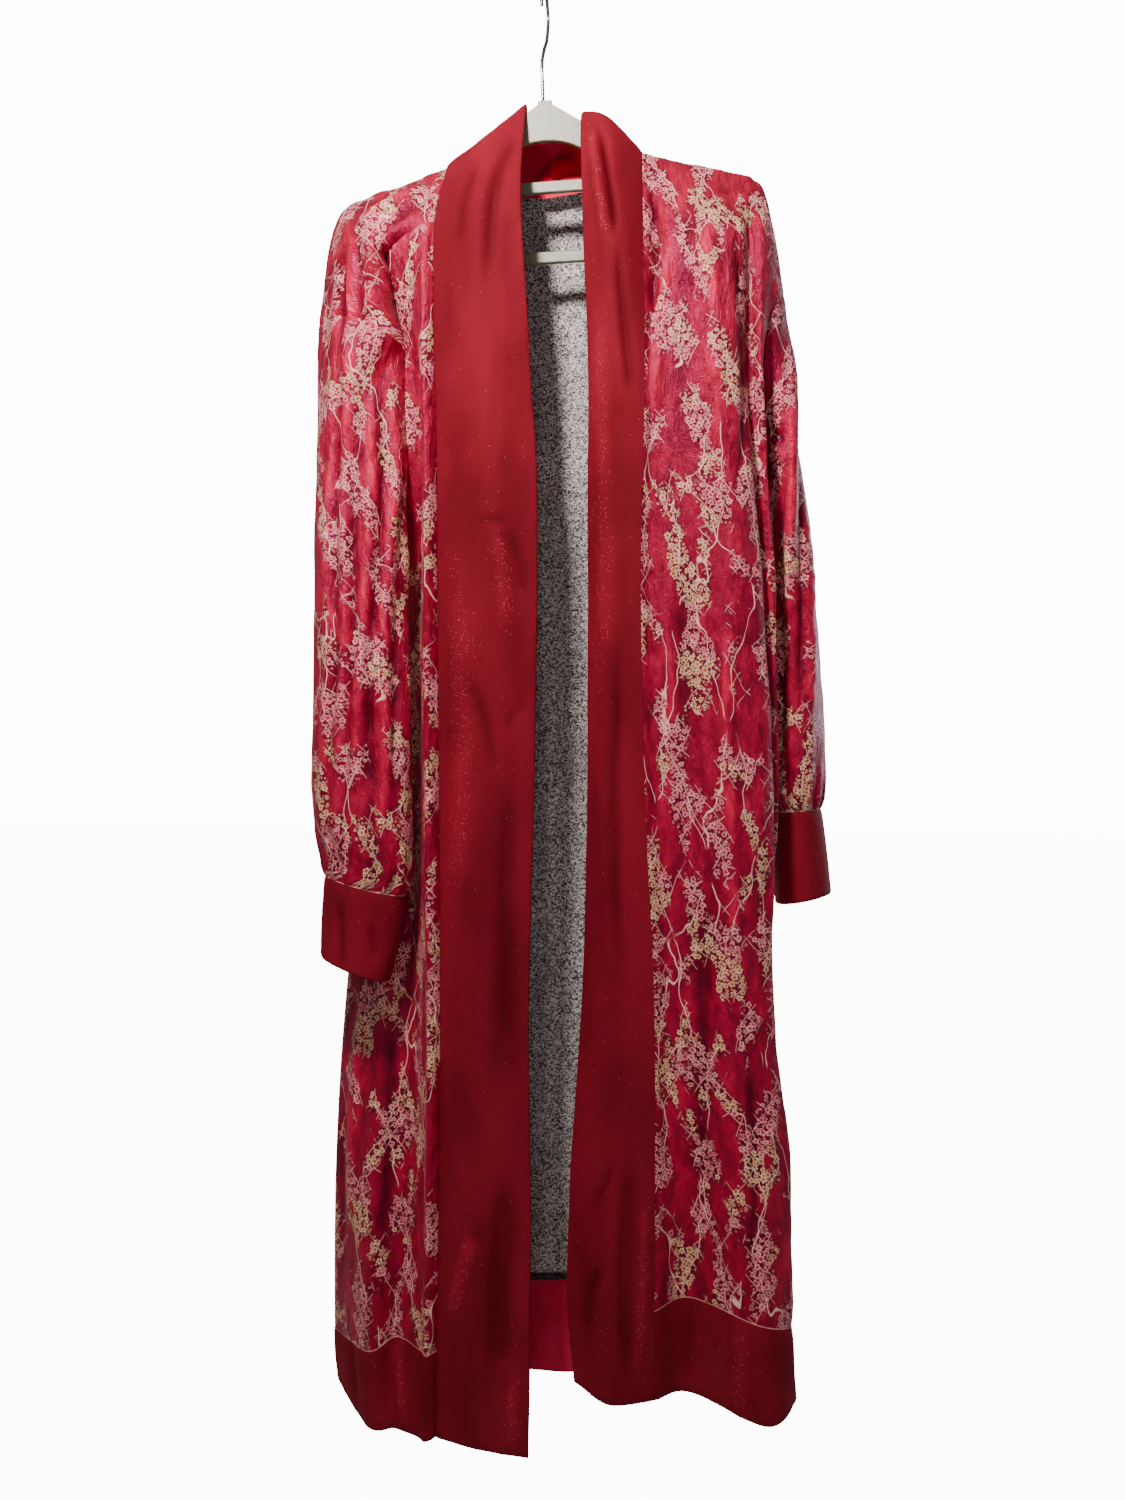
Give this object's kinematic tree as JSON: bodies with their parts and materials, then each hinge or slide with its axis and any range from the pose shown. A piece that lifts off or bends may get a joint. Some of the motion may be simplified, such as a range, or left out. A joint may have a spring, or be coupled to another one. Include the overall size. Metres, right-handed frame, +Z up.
{
  "type": "velvet kimono robe on a clothes hanger",
  "caption": "Long open-front velvet kimono robe with a wide shawl band, gathered sleeves with deep cuffs and a hem band, hung on a slim plastic hanger.",
  "frame": {"origin": "inner top of the hanger hook, where a rail carries it", "axes": "+Z up, +X along the hanger towards the robe's right side as seen from the front, -Y out of the open front"},
  "size_m": [0.5054, 0.1572, 1.4014],
  "materials": {
    "printed_velvet": "crushed velvet with a blossom print",
    "plain_velvet": "plain velvet, matte with a soft sheen",
    "hanger_plastic": "moulded, semi-gloss",
    "hook_steel": "plated wire"
  },
  "bodies": {
    "root": {"back_panel": "printed_velvet", "front_panel_left": "printed_velvet", "front_panel_right": "printed_velvet", "sleeve_left": "printed_velvet", "sleeve_right": "printed_velvet", "neck_band_left": "plain_velvet", "neck_band_right": "plain_velvet", "hem_band_back": "plain_velvet", "hem_band_left": "plain_velvet", "hem_band_right": "plain_velvet", "cuff_left": "plain_velvet", "cuff_right": "plain_velvet", "hanger_yoke": "hanger_plastic", "hanger_bar_upper": "hanger_plastic", "hanger_bar_lower": "hanger_plastic", "hanger_hook": "hook_steel"}
  },
  "joints": []
}
